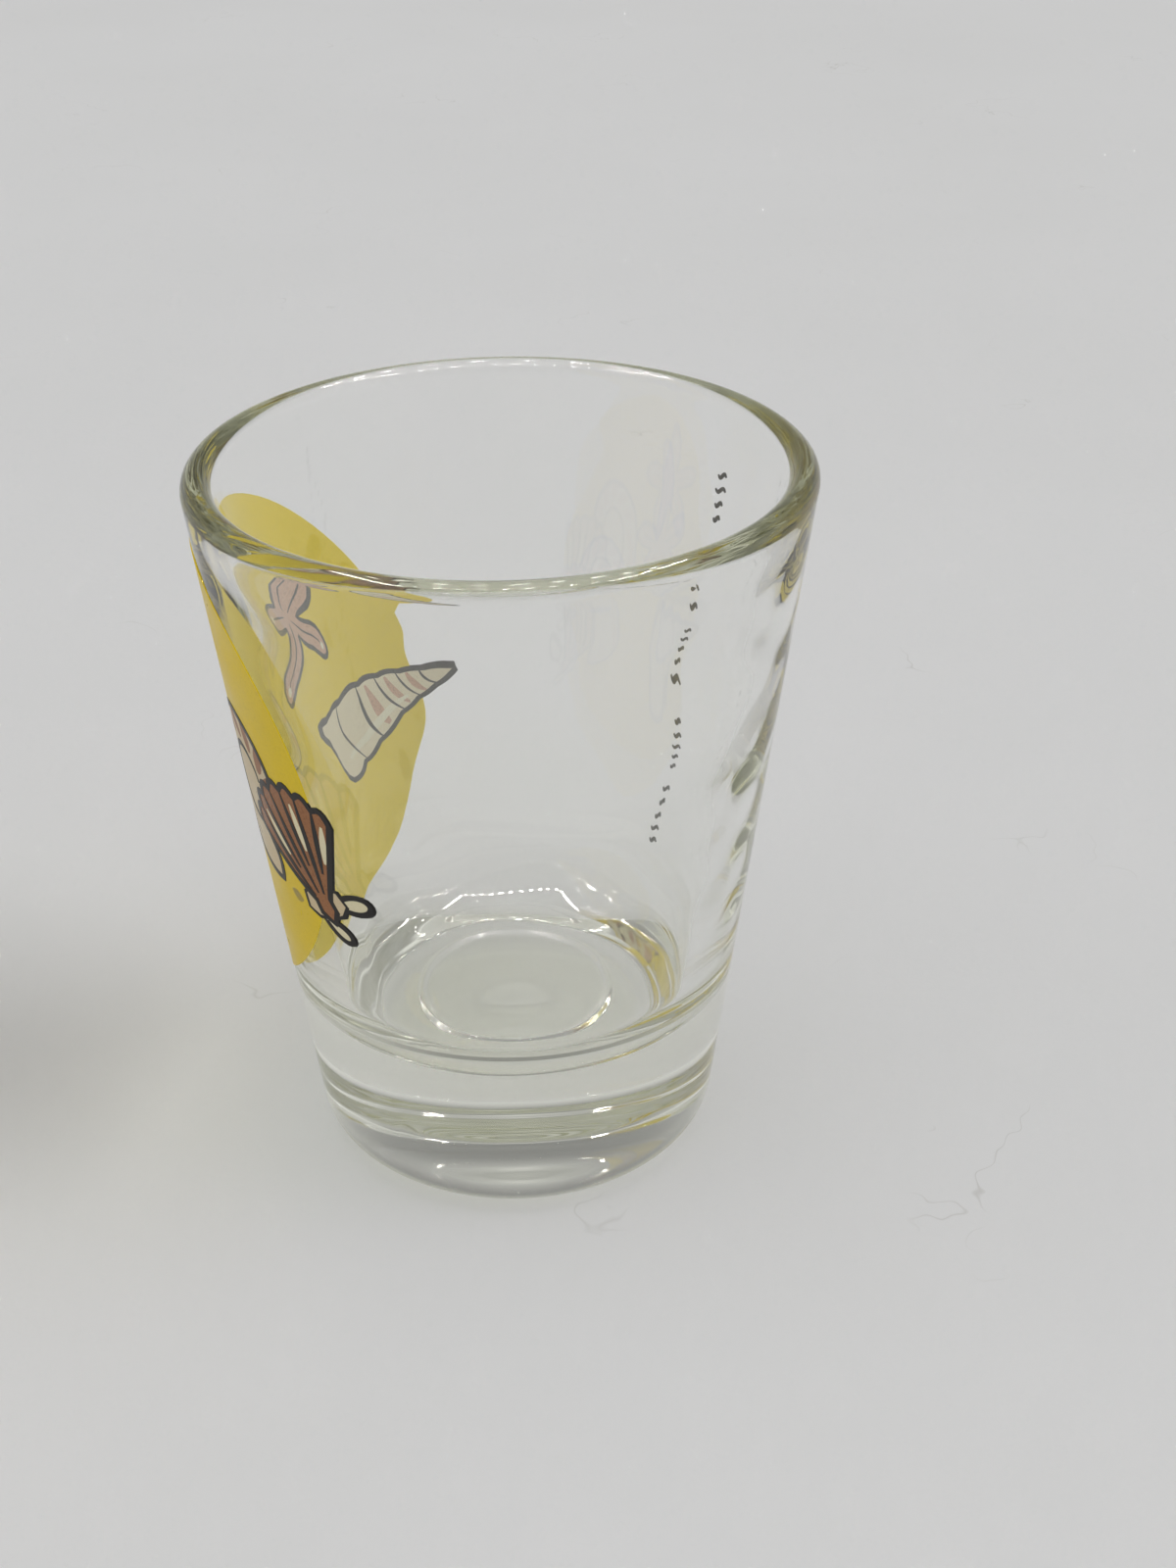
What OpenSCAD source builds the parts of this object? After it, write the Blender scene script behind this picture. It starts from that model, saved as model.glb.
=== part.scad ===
// Souvenir shot glass: a pressed, tapered, heavy-based glass body with a
// fired-on enamel print of sea shells on a yellow oval, and a column of
// little black waves across from it.
// Millimetres, +Z up. The origin is the middle of the plane that it rests on,
// and the axis of the glass is the Z axis.

/* [Glass body] */
// Overall height
height = 60; // [54:0.5:72]
// Radius of the tapered side, carried down to the resting plane
base_r = 16.3; // [15:0.1:19]
// Radius of the tapered side, carried up to the plane of the rim
mouth_r = 24.5; // [23:0.1:27]
// Radius of the fully rounded lip, which is half the wall there
lip_r = 1.2; // [0.8:0.1:1.6]
// Radius of the rounded heel
heel_r = 4.6; // [3:0.1:5.2]

/* [Cavity] */
// Height of the cavity floor, which is the thickness of the heavy base
floor_z = 12.7; // [9:0.1:16]
// Radius of the cavity wall, carried down to the floor
cavity_r = 14.3; // [13:0.1:15]
// Radius of the fillet between the cavity wall and its floor
cavity_fillet = 6.6; // [3:0.2:8]
// Distance of the raised ring's crest in from the foot of the fillet
ridge_inset = 0.6; // [0.6:0.1:2]
// Width of the raised ring on the cavity floor
ridge_w = 1.1; // [0.6:0.1:1.2]
// Height of the raised ring
ridge_h = 0.3; // [0.1:0.05:0.4]

/* [Underside] */
// Radius of the shallow dish under the base
dish_r = 10.5; // [6:0.5:11]
// Depth of the dish at its middle
dish_depth = 0.9; // [0.3:0.1:1.2]

/* [Print] */
// Direction that the middle of the artwork faces, in degrees round the axis
art_azimuth = 174; // [0:1:359]
// Height of the middle of the artwork
art_z = 35.5; // [34:0.5:37]
// Long radius of the yellow oval, measured on the glass
oval_long = 21.5; // [18:0.5:22]
// Short radius of the yellow oval, measured on the glass
oval_short = 19; // [16:0.5:20]
// Slope of the oval's long radius
oval_tilt = 40; // [0:5:180]
// Thickness of the yellow ground
ground_t = 0.06; // [0.04:0.01:0.08]
// Thickness of the tan, brown and cream colours
colour_t = 0.08; // [0.06:0.01:0.1]
// Thickness of the black outlines
line_t = 0.1; // [0.08:0.01:0.12]
// Width of the bold outlines
bold_w = 0.55; // [0.4:0.05:0.7]
// Width of the fine lines
fine_w = 0.32; // [0.25:0.05:0.45]

/* [Column of waves] */
// Direction that the column of little waves faces, in degrees round the axis
wave_azimuth = 37; // [10:1:80]
// Height of the lowest wave
wave_low = 19; // [15:0.5:20]
// Number of places for a wave, of which every sixth is left empty
wave_count = 28; // [10:1:28]
// Distance from one wave to the next
wave_pitch = 1.25; // [1.1:0.05:1.3]
// Length of the longest wave, across the column
wave_length = 1.4; // [0.8:0.1:1.6]

/* [Hidden] */
$fn = 96;

// The taper, as a slope and as an angle from the vertical
side_slope = (mouth_r - base_r) / height;
side_angle = atan(side_slope);
// Centre of the heel's arc, which touches the resting plane and the side
heel_c = [base_r + heel_r * tan(side_angle) - heel_r / cos(side_angle), heel_r];
// Centre of the lip's arc, which touches the side and the plane of the rim
lip_c = [base_r + (height - lip_r) * side_slope - lip_r / cos(side_angle), height - lip_r];
// Lean of the cavity wall, which runs from the floor corner to touch the lip's arc
corner = [cavity_r, floor_z];
lip_reach = lip_c - corner;
wall_lean = 90 - atan2(lip_reach[1], lip_reach[0]) - asin(lip_r / norm(lip_reach));
// Centre of the fillet's arc, which touches the floor and the cavity wall
fillet_c = [cavity_r - cavity_fillet * tan(45 - wall_lean / 2), floor_z + cavity_fillet];
// Radius of the raised ring's crest
ridge_r = fillet_c[0] - ridge_inset;
// Depth of the prisms that carry the artwork out past the side of the glass
art_reach = mouth_r + 5;
// Rise of a wave's crest
wave_rise = 0.22;

// ---------- curves ----------

// Points along an arc round a centre, from one angle to another
function arc(centre, radius, from, to, steps) =
    [for (i = [0 : steps]) centre + radius * unit(from + (to - from) * i / steps)];

// Unit vector at an angle
function unit(angle) = [cos(angle), sin(angle)];

// Vector turned by an angle
function turned(v, angle) =
    [v[0] * cos(angle) - v[1] * sin(angle), v[0] * sin(angle) + v[1] * cos(angle)];

// Points of a closed anticlockwise outline moved outwards by a distance
function grown(points, distance) =
    let (n = len(points))
    [for (i = [0 : n - 1])
        let (along = points[(i + 1) % n] - points[(i + n - 1) % n])
        points[i] + distance * [along[1], -along[0]] / norm(along)];

// Sideways unit vector at one point of an open path
function sideways(path, i) =
    let (along = path[min(i + 1, len(path) - 1)] - path[max(i - 1, 0)])
    [-along[1], along[0]] / norm(along);

// Half the width of a brush stroke at a fraction of its length: thin ends, full middle
function brush_half(width, fraction) = width / 2 * sin(20 + 140 * fraction);

// Outline of a brush stroke along an open path
function stroke(path, width) =
    let (last = len(path) - 1)
    concat(
        [for (i = [0 : last]) path[i] - sideways(path, i) * brush_half(width, i / last)],
        [for (i = [last : -1 : 0]) path[i] + sideways(path, i) * brush_half(width, i / last)]);

// Height of a smooth swell at a fraction of its half width: 1 at its crest, 0 at its edge
function swell(fraction) = (1 + cos(180 * fraction)) / 2;

// ---------- artwork on the cone ----------

// Outer radius of the glass at a height
function side_r(z) = base_r + side_slope * z;

// A point of the flat artwork, along and up the glass, as its projection seen face on
function wrapped(p) =
    let (z = art_z + p[1], r = side_r(z))
    [r * sin(p[0] / r * 180 / PI), z];

// A patch of the artwork from its outline
module ink(points) {
    polygon([for (p = points) wrapped(p)]);
}

// A line drawn round a closed outline
module drawn_round(points, width) {
    difference() {
        ink(grown(points, width / 2));
        ink(grown(points, -width / 2));
    }
}

// A brush stroke along an open path
module brushed(path, width) {
    ink(stroke(path, width));
}

// ---------- scallop shell ----------

scallop_hinge = [19.4, -6.8];
scallop_axis = 110;
scallop_r = 11;
scallop_spread = 38;
scallop_ribs = 7;

// Edge of the fan at a fraction of its spread, with one lobe for each rib
function scallop_edge(f) =
    let (lobe = abs(sin(180 * scallop_ribs * f)))
    scallop_hinge + unit(scallop_axis + scallop_spread * (2 * f - 1))
        * scallop_r * (0.84 + 0.1 * sin(180 * f) + 0.06 * lobe);

// Valley between two ribs, from the edge of the fan towards its hinge
function scallop_valley(i, depth) =
    let (edge = scallop_edge(i / scallop_ribs))
    [for (k = [0 : 6]) edge + (scallop_hinge - edge) * depth * k / 6];

scallop_fan_steps = scallop_ribs * 6;
scallop_outline = concat(
    [for (i = [0 : scallop_fan_steps]) scallop_edge(i / scallop_fan_steps)],
    [for (k = [1 : 5]) scallop_edge(1) + (scallop_hinge - scallop_edge(1)) * k / 6],
    [scallop_hinge + turned([0.2, 1], scallop_axis)],
    [scallop_hinge - unit(scallop_axis) * 0.8],
    [scallop_hinge + turned([0.2, -1], scallop_axis)],
    [for (k = [5 : -1 : 1]) scallop_edge(0) + (scallop_hinge - scallop_edge(0)) * k / 6]);

// Ear of the hinge on one side
function scallop_ear(side) =
    [for (q = [[-0.4, 0], [-0.2, 1.6], [0.6, 2.6], [1.9, 2.2], [2.2, 1.2], [1.6, 0]])
        scallop_hinge + turned([q[0], side * q[1]], scallop_axis)];

// Light streak on one rib
function scallop_glint(i, from, to) =
    let (edge = scallop_edge((i + 0.5) / scallop_ribs))
    [for (k = [0 : 6]) scallop_hinge + (edge - scallop_hinge) * (from + (to - from) * k / 6)];

module scallop_lines() {
    drawn_round(scallop_outline, bold_w);
    for (i = [1 : scallop_ribs - 1])
        brushed(scallop_valley(i, i % 2 == 0 ? 0.82 : 0.6), bold_w);
    difference() {
        drawn_round(scallop_ear(-1), fine_w);
        ink(scallop_outline);
    }
    difference() {
        drawn_round([for (i = [5 : -1 : 0]) scallop_ear(1)[i]], fine_w);
        ink(scallop_outline);
    }
}

// ---------- nautilus shell ----------

nautilus_c = [11, 1.8];
nautilus_r = 8.4;
nautilus_mouth = -75;

// Point of the spiral at a number of turns back from the lip of its mouth
function nautilus_point(turns, scale) =
    nautilus_c + unit(nautilus_mouth - 360 * turns) * nautilus_r * pow(0.46, turns) * scale;

nautilus_steps = 48;
nautilus_outline = concat(
    [for (i = [nautilus_steps : -1 : 0]) nautilus_point(i / nautilus_steps, 1)],
    [for (k = [1 : 5]) nautilus_point(0, 1 - 0.09 * k) + [0.9 * sin(30 * k), 0]]);
nautilus_coil = [for (i = [0 : 30]) nautilus_point(0.93 + i / 36, 1)];

// Stripe from the outer edge of the shell towards its coil
function nautilus_stripe(i) =
    [for (k = [0 : 5]) nautilus_point(0.14 + 0.085 * i + 0.012 * k, 0.98 - 0.075 * k)];

module nautilus_lines() {
    drawn_round(nautilus_outline, bold_w);
    brushed(nautilus_coil, bold_w);
}

// ---------- starfish ----------

starfish_c = [-5, 7.4];
starfish_r = 7;
starfish_turn = 14;

// Edge of the starfish in a direction, as a share of its full reach
function starfish_point(angle, share) =
    starfish_c + unit(angle + starfish_turn) * starfish_r * share
        * (0.36 + 0.64 * pow(abs(cos(2.5 * angle)), 1.7));

starfish_outline = [for (a = [0 : 5 : 355]) starfish_point(a, 1)];

// Line along the middle of one arm
function starfish_ray(i) =
    [for (k = [0 : 5]) starfish_point(72 * i, 0.12 + 0.13 * k)];

module starfish_lines() {
    drawn_round(starfish_outline, bold_w);
    for (i = [0 : 4])
        brushed(starfish_ray(i), fine_w);
}

// ---------- auger shell ----------

auger_mouth = [-8.2, -6.6];
auger_length = 17.5;
auger_angle = 163;
auger_w = 9;
auger_whorls = 6;

// Point of the shell from its place along the axis, as a fraction, and across it, in half widths
function auger_point(along, across) =
    let (half = auger_w / 2 * (pow(1 - along, 0.85) + 0.04)
            * (0.92 + 0.08 * abs(sin(180 * auger_whorls * along))))
    auger_mouth + turned([auger_length * along, half * across], auger_angle);

auger_side_steps = auger_whorls * 5;
auger_outline = concat(
    [for (i = [0 : auger_side_steps]) auger_point(i / auger_side_steps, -1)],
    [for (i = [auger_side_steps : -1 : 0]) auger_point(i / auger_side_steps, 1)],
    [for (k = [1 : 7])
        auger_mouth + turned([-2.2 * sin(22.5 * k), auger_w / 2 * 0.96 * cos(22.5 * k)], auger_angle)]);

// Seam between two whorls, bowed and slanted across the shell
function auger_seam(i) =
    [for (k = [0 : 8])
        let (across = k / 4 - 1)
        auger_point(i / auger_whorls + 0.03 * across - 0.03 * (1 - across * across), across)];

// Band of colour along the middle of one whorl
function auger_band(i) =
    [for (k = [0 : 8])
        let (across = k / 5 - 0.8)
        auger_point((i + 0.45) / auger_whorls + 0.03 * across - 0.03 * (1 - across * across), across)];

module auger_lines() {
    drawn_round(auger_outline, bold_w);
    for (i = [1 : auger_whorls - 1])
        brushed(auger_seam(i), fine_w);
}

// ---------- kelp pods ----------

// Pod on a stalk: a drop that is pointed at its root and round at its end
function pod(root, angle, length, width) =
    [for (a = [0 : 15 : 345])
        let (reach = (1 - cos(a)) / 2)
        root + turned([length * reach, -width / 2 * sin(a) * pow(reach + 0.02, 0.45)], angle)];

pod_outlines = [
    pod([20.2, -5.5], 14, 4.0, 1.9),
    pod([18.5, -7.3], -28, 3.0, 1.6)];

module pod_lines() {
    for (points = pod_outlines)
        drawn_round(points, bold_w * 0.9);
}

// ---------- column of waves ----------

// One wave, lying across the column at a height
function wave(z, length) =
    [for (k = [0 : 12]) [length * (k / 12 - 0.5), z - art_z + wave_rise * sin(30 * k)]];

module wave_column() {
    for (i = [0 : wave_count - 1])
        if (i % 6 != 5)
            brushed(wave(wave_low + wave_pitch * i, wave_length * (0.8 + 0.2 * sin(100 * i))), fine_w * 1.2);
}

// ---------- layers of the print ----------

// Leaves out what the scallop covers
module behind_scallop() {
    difference() {
        children();
        ink(scallop_outline);
        ink(scallop_ear(1));
        ink(scallop_ear(-1));
    }
}

// Leaves out what the scallop or the nautilus covers
module behind_nautilus() {
    difference() {
        behind_scallop() children();
        ink(nautilus_outline);
    }
}

// Everything drawn in black
module black_art() {
    scallop_lines();
    behind_scallop() {
        nautilus_lines();
        pod_lines();
    }
    behind_nautilus() {
        starfish_lines();
        auger_lines();
    }
}

// Cream highlights
module cream_art() {
    difference() {
        union() {
            for (i = [0, 2, 5])
                brushed(scallop_glint(i, 0.5, 0.86), 0.7);
            behind_scallop() for (points = pod_outlines)
                ink(points);
            behind_nautilus() {
                for (i = [0 : 4])
                    ink(arc(starfish_point(72 * i, 0.82), 0.42, 0, 330, 11));
                brushed([for (k = [0 : 8]) auger_point(0.05 + 0.07 * k, 0.45)], 0.9);
            }
        }
        black_art();
    }
}

// Brown shells and stripes
module brown_art() {
    difference() {
        union() {
            ink(scallop_outline);
            behind_scallop() for (i = [0 : 7])
                brushed(nautilus_stripe(i), 1.3);
            behind_nautilus() {
                ink(starfish_outline);
                for (i = [2 : auger_whorls - 2])
                    brushed(auger_band(i), 0.9);
            }
        }
        black_art();
        cream_art();
    }
}

// Tan shells
module tan_art() {
    difference() {
        union() {
            difference() {
                union() {
                    ink(scallop_ear(1));
                    ink(scallop_ear(-1));
                }
                ink(scallop_outline);
            }
            behind_scallop() ink(nautilus_outline);
            behind_nautilus() ink(auger_outline);
        }
        black_art();
        cream_art();
        brown_art();
    }
}

// Yellow oval, left bare where a shell is printed
module ground_art() {
    difference() {
        ink([for (a = [0 : 4 : 356]) turned([oval_long * cos(a), oval_short * sin(a)], oval_tilt)]);
        ink(scallop_outline);
        ink(scallop_ear(1));
        ink(scallop_ear(-1));
        ink(nautilus_outline);
        ink(starfish_outline);
        ink(auger_outline);
        for (points = pod_outlines)
            ink(points);
        black_art();
    }
}

// A coat of enamel on the side of the glass, from a flat layer of artwork that faces a direction
module enamel(thickness, azimuth = art_azimuth) {
    across = thickness / cos(side_angle);
    intersection() {
        rotate([0, 0, azimuth]) rotate([90, 0, 90])
            linear_extrude(height = art_reach) offset(delta = 0.001) children();
        rotate_extrude()
            polygon([
                [side_r(heel_r), heel_r],
                [side_r(heel_r) + across, heel_r],
                [side_r(height - lip_r) + across, height - lip_r],
                [side_r(height - lip_r), height - lip_r]]);
    }
}

// ---------- sub-parts ----------

// The glass: dished underside, heel, side, lip and cavity with its ringed floor, in one profile
module glass_body() {
    color("#dfe8e0", 0.35)
    rotate_extrude()
        polygon(concat(
            [for (f = [0 : 1 / 8 : 1]) [dish_r * f, dish_depth * swell(f)]],
            arc(heel_c, heel_r, -90, -side_angle, 8),
            arc(lip_c, lip_r, -side_angle, 90, 6),
            arc(lip_c, lip_r, 100, 180 - wall_lean, 5),
            arc(fillet_c, cavity_fillet, -wall_lean, -90, 8),
            [for (f = [1 : -1 / 4 : -1]) [ridge_r + ridge_w / 2 * f, floor_z + ridge_h * swell(f)]],
            [[0, floor_z]]));
}

module yellow_ground_print() {
    color("#d3b53c") enamel(ground_t) ground_art();
}

module tan_shell_print() {
    color("#d9bf94") enamel(colour_t) tan_art();
}

module brown_shell_print() {
    color("#a8643c") enamel(colour_t) brown_art();
}

module cream_highlight_print() {
    color("#efe6c0") enamel(colour_t) cream_art();
}

module black_outline_print() {
    color("#1c1817") {
        enamel(line_t) black_art();
        enamel(line_t, wave_azimuth) wave_column();
    }
}

glass_body();
yellow_ground_print();
tan_shell_print();
brown_shell_print();
cream_highlight_print();
black_outline_print();
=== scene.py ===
import math

import bmesh
import bpy
from mathutils import Matrix, Vector


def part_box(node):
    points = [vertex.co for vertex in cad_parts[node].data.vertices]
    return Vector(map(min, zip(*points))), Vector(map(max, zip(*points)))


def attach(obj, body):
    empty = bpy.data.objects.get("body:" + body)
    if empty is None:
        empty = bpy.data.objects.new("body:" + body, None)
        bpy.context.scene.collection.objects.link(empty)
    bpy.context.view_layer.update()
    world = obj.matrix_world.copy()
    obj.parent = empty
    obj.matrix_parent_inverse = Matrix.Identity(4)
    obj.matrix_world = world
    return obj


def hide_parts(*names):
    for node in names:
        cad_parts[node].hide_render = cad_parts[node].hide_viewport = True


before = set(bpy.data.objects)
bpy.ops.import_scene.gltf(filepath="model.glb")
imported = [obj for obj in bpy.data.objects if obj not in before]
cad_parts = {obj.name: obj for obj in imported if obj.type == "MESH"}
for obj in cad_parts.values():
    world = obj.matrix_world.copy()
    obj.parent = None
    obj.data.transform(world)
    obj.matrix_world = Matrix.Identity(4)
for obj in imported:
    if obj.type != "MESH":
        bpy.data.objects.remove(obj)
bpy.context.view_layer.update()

MM = 0.001

# ---------- driving dimensions, in millimetres ----------

GLASS_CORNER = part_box("glass_body")[1]
HEIGHT = GLASS_CORNER.z / MM
LIP_OUTER_R = GLASS_CORNER.x / MM

# The tapered side, where it would meet the resting plane and the plane of the rim
BASE_R = 16.3
MOUTH_R = 24.5
LIP_R = 1.2
HEEL_R = 4.6

# The cavity
FLOOR_Z = 12.7
CAVITY_R = 14.3
CAVITY_FILLET = 6.6

# The raised ring on the cavity floor: how far its crest lies in from the fillet, and its size
RIDGE_INSET = 0.6
RIDGE_HALF_WIDTH = 0.55
RIDGE_HEIGHT = 0.3

# The dish underneath
DISH_R = 10.5
DISH_DEPTH = 0.9

SIDE_SLOPE = (MOUTH_R - BASE_R) / HEIGHT
SIDE_ANGLE = math.atan(SIDE_SLOPE)
HEEL_CENTRE = (BASE_R + HEEL_R * math.tan(SIDE_ANGLE) - HEEL_R / math.cos(SIDE_ANGLE), HEEL_R)
LIP_CENTRE = (LIP_OUTER_R - LIP_R, HEIGHT - LIP_R)

# Steps round the glass, and along the stretches of its profile
TURN_STEPS = 320
WALL_STEPS = 70
ARC_STEPS = 20
FLOOR_STEPS = 24
RIDGE_STEPS = 12

# The side stands this far clear of the enamel, and reaches this far into it where it is bonded
CLEARANCE = 0.012
BOND = 0.015

# The bonded stretch, in degrees round the axis, and how softly it starts and ends
BOND_FROM = 200
BOND_TO = 236
BOND_EDGE = 4

# The stretch of the side that can carry print starts between these heights over the heel, and
# ends between these distances below the rim
PRINT_OVER_HEEL = (2, 5)
PRINT_BELOW_RIM = (3, 2)

# Slow ripples of the pressed cavity wall: amplitude, waves in one turn, twist per millimetre
# of height, and phase
RIPPLES = ((0.055, 2, 0.21, 0.6), (0.05, 3, -0.42, 2.1), (0.03, 5, 0.62, 4.0))
RIPPLES_ABOVE_FLOOR = (14, 26)

# Finer wrinkles, the same way, on one stretch: its direction, and how tightly it is held there
WRINKLES = ((0.028, 9, 1.1, 1.0), (0.014, 14, -0.8, 1.0))
WRINKLES_ABOVE_FLOOR = (4, 12)
WRINKLE_TURN = math.radians(-5)
WRINKLE_TIGHTNESS = 6

# The cavity wall comes back to its true radius between these distances below the rim
TRUE_BELOW_RIM = (7, 2)

# Nearer to the axis than this, a ring of points is one point
ON_AXIS = 1e-6


# ---------- small helpers ----------

def arc(centre, radius, start, end, steps):
    """Points along an arc of the profile, from one angle to another, in degrees."""
    points = []
    for i in range(steps + 1):
        angle = math.radians(start + (end - start) * i / steps)
        points.append((centre[0] + radius * math.cos(angle), centre[1] + radius * math.sin(angle)))
    return points


def between(start, end, steps):
    """Points strictly between two profile points."""
    return [
        (start[0] + (end[0] - start[0]) * i / steps, start[1] + (end[1] - start[1]) * i / steps)
        for i in range(1, steps)
    ]


def smooth_step(value, low, high):
    """0 below low, 1 above high, and a smooth rise between them."""
    share = min(max((value - low) / (high - low), 0.0), 1.0)
    return share * share * (3 - 2 * share)


def link(obj):
    """Puts a new object into the scene."""
    bpy.context.scene.collection.objects.link(obj)
    return obj


def mesh_object(name, bm, material, smooth=True):
    """A new object from a bmesh whose points are in millimetres."""
    bmesh.ops.scale(bm, vec=(MM, MM, MM), verts=bm.verts)
    mesh = bpy.data.meshes.new(name)
    bm.to_mesh(mesh)
    bm.free()
    for face in mesh.polygons:
        face.use_smooth = smooth
    mesh.materials.append(material)
    return link(bpy.data.objects.new(name, mesh))


# ---------- node helpers ----------

# The usual range of a noise value
USUAL_NOISE = (0.3, 0.7)


def new_material(name):
    """A new material with an empty node tree, and that tree."""
    material = bpy.data.materials.new(name)
    material.use_nodes = True
    material.node_tree.nodes.clear()
    return material, material.node_tree


def add_node(tree, kind, **values):
    """A node with its inputs set by name, spaces in their names written as underscores."""
    node = tree.nodes.new(kind)
    for key, value in values.items():
        node.inputs[key.replace("_", " ")].default_value = value
    return node


def noise(tree, coordinates, scale, detail=2.0, roughness=0.5):
    """A noise value with a number of features per metre."""
    node = add_node(tree, "ShaderNodeTexNoise", Scale=scale, Detail=detail, Roughness=roughness)
    tree.links.new(coordinates, node.inputs["Vector"])
    return node.outputs["Fac"]


def ramp(tree, factor, first, second):
    """A colour that goes from one to another as a noise value goes over its usual range."""
    node = tree.nodes.new("ShaderNodeValToRGB")
    for element, place, colour in zip(node.color_ramp.elements, USUAL_NOISE, (first, second)):
        element.position = place
        element.color = (*colour, 1)
    tree.links.new(factor, node.inputs["Fac"])
    return node.outputs["Color"]


def spread(tree, factor, to_min, to_max, span=USUAL_NOISE):
    """A number that goes from to_min to to_max as the factor goes over a span."""
    node = add_node(
        tree, "ShaderNodeMapRange", From_Min=span[0], From_Max=span[1], To_Min=to_min, To_Max=to_max
    )
    tree.links.new(factor, node.inputs["Value"])
    return node.outputs["Result"]


def bump(tree, height, strength, distance):
    """A normal bent by a height value, with a distance in metres."""
    node = add_node(tree, "ShaderNodeBump", Strength=strength, Distance=distance)
    tree.links.new(height, node.inputs["Height"])
    return node.outputs["Normal"]


def maths(tree, operation, first, second=0.0, third=0.0):
    """One step of arithmetic on sockets or numbers."""
    node = tree.nodes.new("ShaderNodeMath")
    node.operation = operation
    for socket, value in zip(node.inputs, (first, second, third)):
        if isinstance(value, (int, float)):
            socket.default_value = value
        else:
            tree.links.new(value, socket)
    return node.outputs["Value"]


def object_place(tree):
    """Places in metres in the object's own frame, which is the row's."""
    return tree.nodes.new("ShaderNodeTexCoord").outputs["Object"]


# ---------- materials ----------

# Glass: colour kept after a depth of one over its density in metres, and what lamps' light keeps
# at each surface
GLASS_DEPTH_COLOUR = (0.875, 0.882, 0.78)
GLASS_DENSITY = 20.0
LAMP_LIGHT_COLOUR = (0.985, 0.99, 0.975)

# Floor: the two ends of its clouds, its scuffs, and the painted pool of light under the base, which
# stands in for the light the glass gathers there
CLOUD_TONES = ((0.775, 0.775, 0.772), (0.80, 0.80, 0.80))
SCUFF_TONE = (0.66, 0.655, 0.64)
PAINTED_CAUSTIC_TONE = (0.97, 0.97, 0.96)

# The painted pool of light under the base ends between these shares of the base's radius
PAINTED_CAUSTIC_SHARES = (0.8, 0.95)


def glass_material():
    """Clear soda-lime glass: olive by depth, with a faint orange peel and faint smears.

    Lamps shine straight through it, so that it doesn't throw a solid shadow.
    """
    material, tree = new_material("soda_lime_glass")
    place = object_place(tree)
    shader = add_node(
        tree, "ShaderNodeBsdfPrincipled", Roughness=0.0, IOR=1.52, Transmission_Weight=1.0
    )
    tint = ramp(tree, noise(tree, place, 60.0), (0.99, 0.995, 0.985), (1.0, 1.0, 1.0))
    tree.links.new(tint, shader.inputs["Base Color"])
    peel = bump(tree, noise(tree, place, 220.0, detail=1.0), 0.05, 0.0002)
    tree.links.new(peel, shader.inputs["Normal"])
    smears = noise(tree, place, 90.0, detail=4.0, roughness=0.6)
    tree.links.new(spread(tree, smears, 0.0, 0.02, (0.5, 0.8)), shader.inputs["Roughness"])
    depth = add_node(
        tree, "ShaderNodeVolumeAbsorption", Color=(*GLASS_DEPTH_COLOUR, 1), Density=GLASS_DENSITY
    )
    lamp_light = add_node(tree, "ShaderNodeBsdfTransparent", Color=(*LAMP_LIGHT_COLOUR, 1))
    surface = tree.nodes.new("ShaderNodeMixShader")
    light_path = tree.nodes.new("ShaderNodeLightPath")
    tree.links.new(light_path.outputs["Is Shadow Ray"], surface.inputs[0])
    tree.links.new(shader.outputs["BSDF"], surface.inputs[1])
    tree.links.new(lamp_light.outputs["BSDF"], surface.inputs[2])
    output = tree.nodes.new("ShaderNodeOutputMaterial")
    tree.links.new(surface.outputs["Shader"], output.inputs["Surface"])
    tree.links.new(depth.outputs["Volume"], output.inputs["Volume"])
    return material


def facing_in(tree, place):
    """1 on the side of a print that faces the axis of the glass, 0 on the outer side."""
    level = tree.nodes.new("ShaderNodeVectorMath")
    level.operation = "MULTIPLY"
    level.inputs[1].default_value = (1, 1, 0)
    tree.links.new(place, level.inputs[0])
    facing = tree.nodes.new("ShaderNodeVectorMath")
    facing.operation = "DOT_PRODUCT"
    tree.links.new(level.outputs["Vector"], facing.inputs[0])
    tree.links.new(tree.nodes.new("ShaderNodeTexCoord").outputs["Normal"], facing.inputs[1])
    return maths(tree, "LESS_THAN", facing.outputs["Value"], 0.0)


def blend(tree, kind, factor, first, second):
    """Two colours mixed by a factor; each is a socket or a plain colour."""
    node = tree.nodes.new("ShaderNodeMix")
    node.data_type = "RGBA"
    node.blend_type = kind
    for name, value in (("A", first), ("B", second)):
        if isinstance(value, tuple):
            node.inputs[name].default_value = (*value, 1)
        else:
            tree.links.new(value, node.inputs[name])
    tree.links.new(factor, node.inputs["Factor"])
    return node.outputs["Result"]


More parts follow.
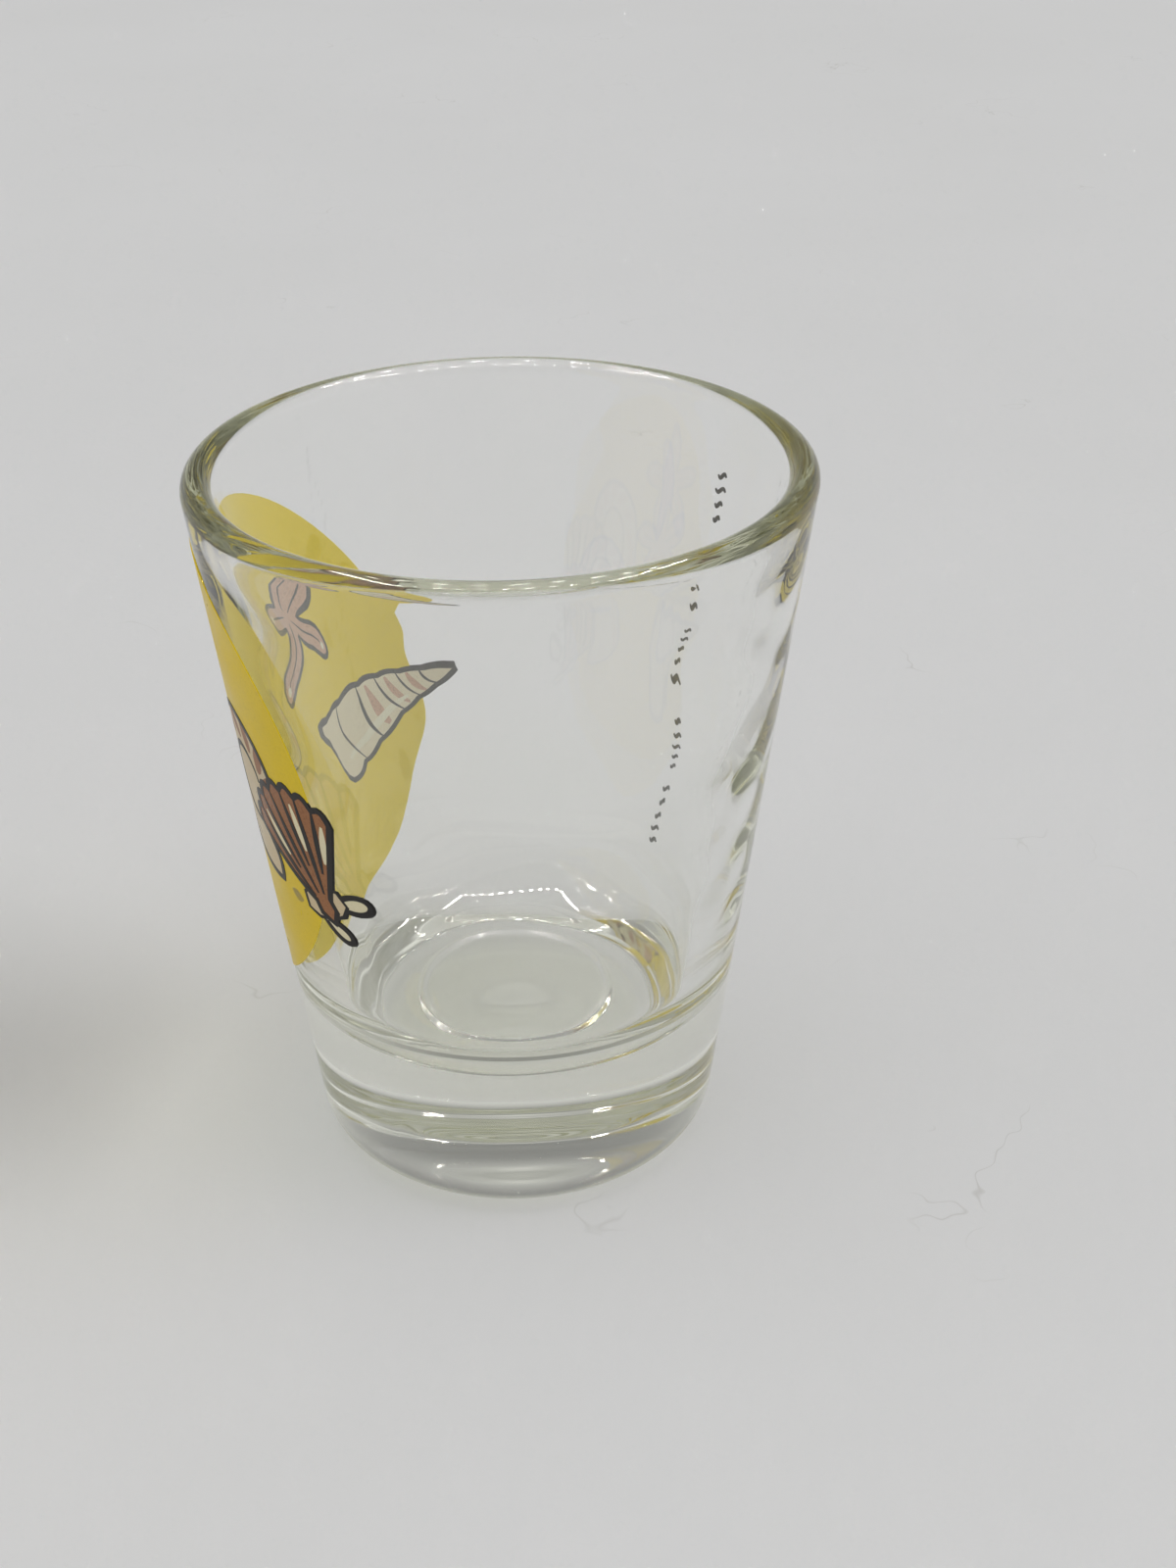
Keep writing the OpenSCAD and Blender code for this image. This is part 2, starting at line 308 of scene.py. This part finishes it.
def enamel_material(name, outer, lit_glass_side_colour, grain):
    """Fired enamel ink: mottled, finely speckled, and a lighter copy of its colour on the side against
    the glass, which is painted light for the light that shines through the thin ink.
    """
    material, tree = new_material(name)
    place = object_place(tree)
    shader = add_node(tree, "ShaderNodeBsdfPrincipled", IOR=1.5, Specular_IOR_Level=0.25)
    cloud = noise(tree, place, 260.0, detail=3.0)
    thin = tuple(0.94 * value for value in outer)
    mottled = ramp(tree, cloud, thin, outer)
    # Painted light: the side against the glass takes the lighter copy of the colour, for the light that
    # shines through the thin ink.
    colour = blend(tree, "MIX", facing_in(tree, place), mottled, lit_glass_side_colour)
    speckle = spread(tree, noise(tree, place, 5200.0, detail=1.0), 0.0, grain, (0.5, 0.75))
    speckled = blend(tree, "MULTIPLY", speckle, colour, (0.45, 0.36, 0.32))
    tree.links.new(speckled, shader.inputs["Base Color"])
    tree.links.new(spread(tree, cloud, 0.25, 0.4), shader.inputs["Roughness"])
    relief = bump(tree, noise(tree, place, 1400.0, detail=3.0), 0.25, 0.00003)
    tree.links.new(relief, shader.inputs["Normal"])
    output = tree.nodes.new("ShaderNodeOutputMaterial")
    tree.links.new(shader.outputs["BSDF"], output.inputs["Surface"])
    return material


def thin_marks(tree, place, scale, width, sparseness):
    """1 along thin wandering lines that come and go in patches, 0 elsewhere."""
    wander = noise(tree, place, scale, detail=3.0)
    off_line = maths(tree, "ABSOLUTE", maths(tree, "SUBTRACT", wander, 0.5))
    line = spread(tree, off_line, 1.0, 0.0, (0.0, width))
    patches = noise(tree, place, scale * 0.6, detail=2.0)
    patch = spread(tree, patches, 0.0, 1.0, (sparseness, sparseness + 0.06))
    return maths(tree, "MULTIPLY", line, patch)


def painted_caustic_mask(tree, place):
    """1 on the floor under the base of the glass, 0 round it: where the painted pool of light goes."""
    distance = tree.nodes.new("ShaderNodeVectorMath")
    distance.operation = "LENGTH"
    tree.links.new(place, distance.inputs[0])
    edge = tuple(share * BASE_R * MM for share in PAINTED_CAUSTIC_SHARES)
    return spread(tree, distance.outputs["Value"], 1.0, 0.0, edge)


def floor_material():
    """Matt pale sheet with faint clouds and a few scuffs, and a painted pool of light where the base
    gathers light.
    """
    material, tree = new_material("pale_floor")
    place = object_place(tree)
    shader = add_node(tree, "ShaderNodeBsdfPrincipled", Roughness=0.6, Specular_IOR_Level=0.15)
    clouds = noise(tree, place, 9.0, detail=5.0, roughness=0.6)
    tone = ramp(tree, clouds, *CLOUD_TONES)
    scuffs = thin_marks(tree, place, 60.0, 0.004, 0.62)
    scuffed = blend(tree, "MIX", scuffs, tone, SCUFF_TONE)
    # Painted light: the floor under the base is made lighter, for the light that the glass gathers
    # there.
    painted_caustic_colour = blend(tree, "MIX", painted_caustic_mask(tree, place), scuffed, PAINTED_CAUSTIC_TONE)
    tree.links.new(painted_caustic_colour, shader.inputs["Base Color"])
    fibres = bump(tree, noise(tree, place, 900.0, detail=4.0), 0.08, 0.0002)
    tree.links.new(fibres, shader.inputs["Normal"])
    output = tree.nodes.new("ShaderNodeOutputMaterial")
    tree.links.new(shader.outputs["BSDF"], output.inputs["Surface"])
    return material


# ---------- the glass ----------

def wall_lean():
    """Lean of the cavity wall from the vertical, in degrees, from its floor corner to the lip's arc."""
    reach_r = LIP_CENTRE[0] - CAVITY_R
    reach_z = LIP_CENTRE[1] - FLOOR_Z
    touch = math.asin(LIP_R / math.hypot(reach_r, reach_z))
    return 90 - math.degrees(math.atan2(reach_z, reach_r) + touch)


def underside():
    """The shallow dish, a raised cosine from the axis to its rim, where the flat resting ring starts."""
    points = []
    for i in range(FLOOR_STEPS + 1):
        share = i / FLOOR_STEPS
        points.append((DISH_R * share, DISH_DEPTH * (1 + math.cos(math.pi * share)) / 2))
    return points


def cavity_floor(start_r):
    """The flat of the cavity floor from its fillet inwards, with its raised ring."""
    crest_r = start_r - RIDGE_INSET
    points = []
    for i in range(RIDGE_STEPS + 1):
        offset = 1 - 2 * i / RIDGE_STEPS
        rise = RIDGE_HEIGHT * (1 + math.cos(math.pi * offset)) / 2
        points.append((crest_r + RIDGE_HALF_WIDTH * offset, FLOOR_Z + rise))
    return points + between(points[-1], (0, FLOOR_Z), FLOOR_STEPS) + [(0, FLOOR_Z)]


def glass_profile():
    """Half the section of the glass: its outside, then its inside from the lip down."""
    side = math.degrees(SIDE_ANGLE)
    lean = wall_lean()
    fillet_r = CAVITY_R - CAVITY_FILLET * math.tan(math.radians(45 - lean / 2))
    heel = arc(HEEL_CENTRE, HEEL_R, -90, -side, ARC_STEPS)
    lip = arc(LIP_CENTRE, LIP_R, -side, 180 - lean, ARC_STEPS)
    fillet = arc((fillet_r, FLOOR_Z + CAVITY_FILLET), CAVITY_FILLET, -lean, -90, ARC_STEPS)
    outside = underside() + heel + between(heel[-1], lip[0], WALL_STEPS)
    inside = lip + between(lip[-1], fillet[0], WALL_STEPS) + fillet + cavity_floor(fillet_r)
    return outside, inside


def waves(kinds, angle, z):
    """Sum of a set of waves at an angle and a height."""
    total = 0.0
    for amplitude, turns, twist, phase in kinds:
        total += amplitude * math.sin(turns * angle + twist * z + phase)
    return total


def above(start, span, z):
    """0 below a span of heights over a starting height, 1 above it."""
    return smooth_step(z, start + span[0], start + span[1])


def below_rim(span, z):
    """1 below a span of heights under the rim, 0 above it."""
    return 1 - smooth_step(z, HEIGHT - span[0], HEIGHT - span[1])


def pressing_waves(angle, z):
    """How far the pressed cavity wall stands off its true radius: none at the lip or the floor."""
    focus = max(math.cos(angle - WRINKLE_TURN), 0.0) ** WRINKLE_TIGHTNESS
    offset = waves(RIPPLES, angle, z) * above(FLOOR_Z, RIPPLES_ABOVE_FLOOR, z)
    offset += waves(WRINKLES, angle, z) * focus * above(FLOOR_Z, WRINKLES_ABOVE_FLOOR, z)
    return offset * below_rim(TRUE_BELOW_RIM, z)


def enamel_bond(angle, z):
    """How far the side stands off its true radius, on the stretch that can carry print."""
    share = above(HEEL_R, PRINT_OVER_HEEL, z) * below_rim(PRINT_BELOW_RIM, z)
    turn = math.degrees(angle)
    start = smooth_step(turn, BOND_FROM, BOND_FROM + BOND_EDGE)
    end = smooth_step(turn, BOND_TO, BOND_TO + BOND_EDGE)
    return share * ((BOND + CLEARANCE) * start * (1 - end) - CLEARANCE)


def ring(bm, r, z, offset):
    """One ring of points with its radius changed by an offset, or a single point on the axis."""
    if r < ON_AXIS:
        return [bm.verts.new((0, 0, z))]
    points = []
    for i in range(TURN_STEPS):
        angle = math.tau * i / TURN_STEPS
        reach = r + offset(angle, z)
        points.append(bm.verts.new((reach * math.cos(angle), reach * math.sin(angle), z)))
    return points


def skin(bm, lower, upper):
    """Faces between two neighbouring rings, facing out of the glass."""
    for i in range(TURN_STEPS):
        j = (i + 1) % TURN_STEPS
        if len(lower) == 1:
            bm.faces.new((lower[0], upper[j], upper[i]))
        elif len(upper) == 1:
            bm.faces.new((lower[i], lower[j], upper[0]))
        else:
            bm.faces.new((lower[i], lower[j], upper[j], upper[i]))


def make_glass(material):
    """The glass, turned from its profile, with its enamel bond outside and its ripples inside."""
    bm = bmesh.new()
    outside, inside = glass_profile()
    rings = [ring(bm, r, z, enamel_bond) for r, z in outside]
    rings += [ring(bm, r, z, pressing_waves) for r, z in inside]
    for lower, upper in zip(rings, rings[1:]):
        skin(bm, lower, upper)
    glass = mesh_object("glass_body_pressed", bm, material)
    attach(glass, "root")
    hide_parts("glass_body")


# ---------- the print ----------

# Name, colour on the outer side, lighter colour against the glass (painted light for the light that
# shines through the thin ink), and strength of the speckle
ENAMELS = {
    "yellow_ground_print": ("yellow_enamel", (0.86, 0.62, 0.01), (0.93, 0.74, 0.09), 0.12),
    "tan_shell_print": ("tan_enamel", (0.72, 0.58, 0.36), (0.88, 0.80, 0.62), 0.15),
    "brown_shell_print": ("brown_enamel", (0.36, 0.15, 0.055), (0.72, 0.48, 0.36), 0.55),
    "cream_highlight_print": ("cream_enamel", (0.86, 0.78, 0.52), (0.92, 0.88, 0.72), 0.1),
    "black_outline_print": ("black_enamel", (0.016, 0.014, 0.013), (0.10, 0.095, 0.09), 0.2),
}


def finish_print():
    """Gives each printed layer of the frame its enamel."""
    for node, (name, outer, lit_glass_side_colour, grain) in ENAMELS.items():
        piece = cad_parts[node]
        piece.data.materials.clear()
        piece.data.materials.append(enamel_material("fired_" + name, outer, lit_glass_side_colour, grain))


# ---------- stage, lights and camera ----------

# The floor's disc, in millimetres: its radius, how far below the glass it lies, so that the two
# don't touch, and its number of sides
FLOOR_R = 2400
FLOOR_DROP = 0.02
FLOOR_SIDES = 96


def make_floor():
    """A wide pale disc just under the glass."""
    bm = bmesh.new()
    bmesh.ops.create_circle(bm, cap_ends=True, segments=FLOOR_SIDES, radius=FLOOR_R)
    bmesh.ops.translate(bm, vec=(0, 0, -FLOOR_DROP), verts=bm.verts)
    floor = mesh_object("floor", bm, floor_material(), smooth=False)


def sky_direction(azimuth, elevation):
    """A unit vector from an azimuth and an elevation in degrees."""
    turn, lift = math.radians(azimuth), math.radians(elevation)
    return (math.cos(lift) * math.cos(turn), math.cos(lift) * math.sin(turn), math.sin(lift))


# Brightness of the studio against the height of the direction, from straight down to straight up
STUDIO_TONES = (
    (-1.0, 0.60), (0.0, 0.60), (0.12, 0.50), (0.3, 0.3), (0.5, 0.23), (0.75, 0.26), (1.0, 0.7)
)

# White side walls: azimuth, elevation, peak brightness and tightness
SIDE_WALLS = ((355, 20, 0.45, 5), (186, 22, 0.3, 5))

# Lamps that light the floor and the print: azimuth, elevation and strength; and how wide each is
LAMPS = {"key_right": (352, 36, 1.25), "fill_front": (262, 66, 0.44)}
LAMP_SPREAD = 38


def studio_tone(tree, direction):
    """The studio's brightness by the height of the direction."""
    height = tree.nodes.new("ShaderNodeSeparateXYZ")
    tree.links.new(direction, height.inputs["Vector"])
    tone = tree.nodes.new("ShaderNodeFloatCurve")
    curve = tone.mapping.curves[0]
    curve.points[0].location = (0.0, STUDIO_TONES[0][1])
    curve.points[-1].location = (1.0, STUDIO_TONES[-1][1])
    for z, value in STUDIO_TONES[1:-1]:
        curve.points.new((z + 1) / 2, value)
    tone.mapping.update()
    tree.links.new(maths(tree, "MULTIPLY_ADD", height.outputs["Z"], 0.5, 0.5), tone.inputs["Value"])
    return tone.outputs["Value"]


def wall_glow(tree, direction, azimuth, elevation, peak, tightness):
    """A soft round glow about one direction."""
    facing = tree.nodes.new("ShaderNodeVectorMath")
    facing.operation = "DOT_PRODUCT"
    tree.links.new(direction, facing.inputs[0])
    facing.inputs[1].default_value = sky_direction(azimuth, elevation)
    drop = maths(tree, "MULTIPLY_ADD", facing.outputs["Value"], tightness, -tightness)
    return maths(tree, "MULTIPLY", maths(tree, "EXPONENT", drop), peak)


def make_world():
    """A pale studio, dimmer at the middle heights, with white walls at the sides."""
    world = bpy.data.worlds.new("studio")
    world.use_nodes = True
    tree = world.node_tree
    direction = tree.nodes.new("ShaderNodeTexCoord").outputs["Generated"]
    light = studio_tone(tree, direction)
    for wall in SIDE_WALLS:
        light = maths(tree, "ADD", light, wall_glow(tree, direction, *wall))
    background = tree.nodes["Background"]
    background.inputs["Color"].default_value = (1.0, 1.0, 0.995, 1)
    tree.links.new(light, background.inputs["Strength"])
    bpy.context.scene.world = world


def make_lamps():
    """Broad distant lamps, kept out of what the glass mirrors and bends."""
    for name, (azimuth, elevation, strength) in LAMPS.items():
        light = bpy.data.lights.new(name, "SUN")
        light.energy = strength
        light.angle = math.radians(LAMP_SPREAD)
        lamp = link(bpy.data.objects.new(name, light))
        lamp.rotation_mode = "QUATERNION"
        lamp.rotation_quaternion = Vector(sky_direction(azimuth, elevation)).to_track_quat("Z", "Y")
        lamp.visible_transmission = False
        lamp.visible_glossy = False


# The camera: place in millimetres, angles in degrees, and lens in millimetres
CAMERA_PLACE = (6.4, -175.3, 128.1)
CAMERA_PITCH = 28.845
CAMERA_ROLL = -0.572
FOCAL_LENGTH = 56.25
SENSOR = 36.0


def make_camera():
    """A camera above the front of the glass, looking along +Y and down by its pitch."""
    data = bpy.data.cameras.new("camera")
    data.sensor_width = SENSOR
    data.lens = FOCAL_LENGTH
    data.clip_start = 0.01
    camera = link(bpy.data.objects.new("camera", data))
    tilt = Matrix.Rotation(math.radians(90 - CAMERA_PITCH), 4, "X")
    roll = Matrix.Rotation(math.radians(CAMERA_ROLL), 4, "Z")
    camera.matrix_world = Matrix.Translation(Vector(CAMERA_PLACE) * MM) @ tilt @ roll
    bpy.context.scene.camera = camera


# The frame of little lamps overhead, in millimetres: size of a bead, height, and the frame's
# left, right, front and back
BEAD = 8
BEAD_HEIGHT = 300
BEAD_FRAME = (-115, 115, -58, 109)
BEADS_PER_SIDE = 11
BEAD_STRENGTH = 95.0


def bead_places():
    """One corner of each bead, evenly along the four sides of their frame."""
    left, right, front, back = BEAD_FRAME
    places = []
    for i in range(BEADS_PER_SIDE):
        x = left + (right - left) * (i + 0.5) / BEADS_PER_SIDE
        y = front + (back - front) * (i + 0.5) / BEADS_PER_SIDE
        places += [(x, front), (x, back), (left, y), (right, y)]
    return places


def bead_material():
    """Plain bright light, which the renderer finds only by mirror paths."""
    material, tree = new_material("bead_light")
    shader = add_node(tree, "ShaderNodeEmission", Color=(1.0, 0.98, 0.95, 1), Strength=BEAD_STRENGTH)
    output = tree.nodes.new("ShaderNodeOutputMaterial")
    tree.links.new(shader.outputs["Emission"], output.inputs["Surface"])
    material.cycles.emission_sampling = "NONE"
    return material


def make_beads():
    """A rectangle of bright beads overhead, which the glass mirrors as dotted lines."""
    bm = bmesh.new()
    for x, y in bead_places():
        corners = ((x, y), (x, y + BEAD), (x + BEAD, y + BEAD), (x + BEAD, y))
        bm.faces.new([bm.verts.new((*corner, BEAD_HEIGHT)) for corner in corners])
    beads = mesh_object("bead_frame", bm, bead_material(), smooth=False)
    beads.visible_diffuse = False
    beads.visible_camera = False
    beads.visible_transmission = False


# Bounces enough for light that runs along inside the glass
LIGHT_BOUNCES = 40


def set_light_paths():
    """Long light paths, mirrored beads at full strength but not thrown on the floor, plain colours."""
    scene = bpy.context.scene
    scene.cycles.max_bounces = LIGHT_BOUNCES
    scene.cycles.transmission_bounces = LIGHT_BOUNCES
    scene.cycles.glossy_bounces = LIGHT_BOUNCES
    scene.cycles.sample_clamp_indirect = 0
    scene.cycles.caustics_reflective = False
    scene.cycles.use_denoising = True
    scene.view_settings.view_transform = "Standard"


make_camera()
make_glass(glass_material())
finish_print()
make_floor()
make_world()
make_lamps()
make_beads()
set_light_paths()
